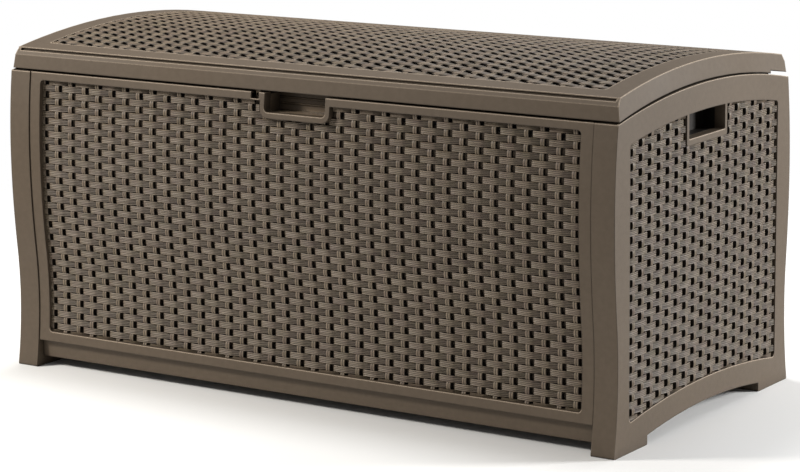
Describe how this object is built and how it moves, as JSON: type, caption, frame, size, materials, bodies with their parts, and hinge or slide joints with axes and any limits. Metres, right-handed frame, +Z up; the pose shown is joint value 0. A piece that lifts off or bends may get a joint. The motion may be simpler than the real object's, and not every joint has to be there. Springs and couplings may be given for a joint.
{
  "type": "deck storage box",
  "caption": "Free-standing outdoor storage chest of woven-look resin panels with bowed sides, arched hinged lid, gas stays, finger pull and hand-holds.",
  "frame": {"origin": "on the ground, under the middle of the box", "axes": "+Z up, the front faces -Y, +X is the right-hand end seen from the front"},
  "size_m": [1.38, 0.69, 0.674],
  "materials": {
    "mocha_resin": "satin moulded resin, mocha brown",
    "inner_resin": "satin moulded resin, plain inner side",
    "cup_resin": "satin moulded resin",
    "steel": "plated steel fasteners",
    "zinc_bracket": "brown powder coat",
    "black_tube": "black gloss paint",
    "black_nylon": "moulded nylon",
    "chrome_rod": "polished rod"
  },
  "bodies": {
    "box": {"front_panel": "mocha_resin", "rear_panel": "mocha_resin", "left_side_panel": "mocha_resin", "right_side_panel": "mocha_resin", "floor_panel": "inner_resin", "front_pull_cup": "cup_resin", "left_hand_hold": "cup_resin", "right_hand_hold": "cup_resin", "corner_screws": "steel", "cup_screws": "steel", "left_hinge_base": "zinc_bracket", "centre_hinge_base": "zinc_bracket", "right_hinge_base": "zinc_bracket", "left_hinge_pin": "steel", "centre_hinge_pin": "steel", "right_hinge_pin": "steel", "hinge_base_screws": "steel", "left_stay_base": "zinc_bracket", "right_stay_base": "zinc_bracket", "stay_base_screws": "steel"},
    "lid": {"lid_shell": "mocha_resin", "lid_liner": "inner_resin", "lid_liner_screws": "steel", "lid_lock_tab": "zinc_bracket", "left_hinge_leaf": "zinc_bracket", "centre_hinge_leaf": "zinc_bracket", "right_hinge_leaf": "zinc_bracket", "hinge_leaf_screws": "steel", "left_stay_lid_bracket": "zinc_bracket", "right_stay_lid_bracket": "zinc_bracket", "stay_lid_screws": "steel"},
    "left_cylinder": {"left_stay_cylinder": "black_tube", "left_stay_cylinder_socket": "black_nylon"},
    "left_rod": {"left_stay_rod": "chrome_rod", "left_stay_rod_socket": "black_nylon"},
    "right_cylinder": {"right_stay_cylinder": "black_tube", "right_stay_cylinder_socket": "black_nylon"},
    "right_rod": {"right_stay_rod": "chrome_rod", "right_stay_rod_socket": "black_nylon"}
  },
  "joints": [
    {"name": "lid_hinge", "type": "hinge", "parent": "box", "child": "lid", "pos_m": [0, 0.324, 0.598], "axis": [-1, 0, 0], "range_deg": [0, 92]},
    {"name": "left_stay_swing", "type": "hinge", "parent": "box", "child": "left_cylinder", "pos_m": [-0.622, 0.266, 0.548], "axis": [-1, 0, 0], "range_deg": [0, 88.89]},
    {"name": "left_stay_slide", "type": "slide", "parent": "left_cylinder", "child": "left_rod", "axis": [0, -0.9737, 0.2279], "range_m": [0, 0.10962]},
    {"name": "right_stay_swing", "type": "hinge", "parent": "box", "child": "right_cylinder", "pos_m": [0.622, 0.266, 0.548], "axis": [-1, 0, 0], "range_deg": [0, 88.89]},
    {"name": "right_stay_slide", "type": "slide", "parent": "right_cylinder", "child": "right_rod", "axis": [0, -0.9737, 0.2279], "range_m": [0, 0.10962]}
  ],
  "couplings": [
    {"joint": "left_stay_swing", "follows": "lid_hinge", "ratio": 0.9608},
    {"joint": "left_stay_slide", "follows": "lid_hinge", "m_per_rad": 0.067955},
    {"joint": "right_stay_swing", "follows": "lid_hinge", "ratio": 0.9608},
    {"joint": "right_stay_slide", "follows": "lid_hinge", "m_per_rad": 0.067955}
  ]
}
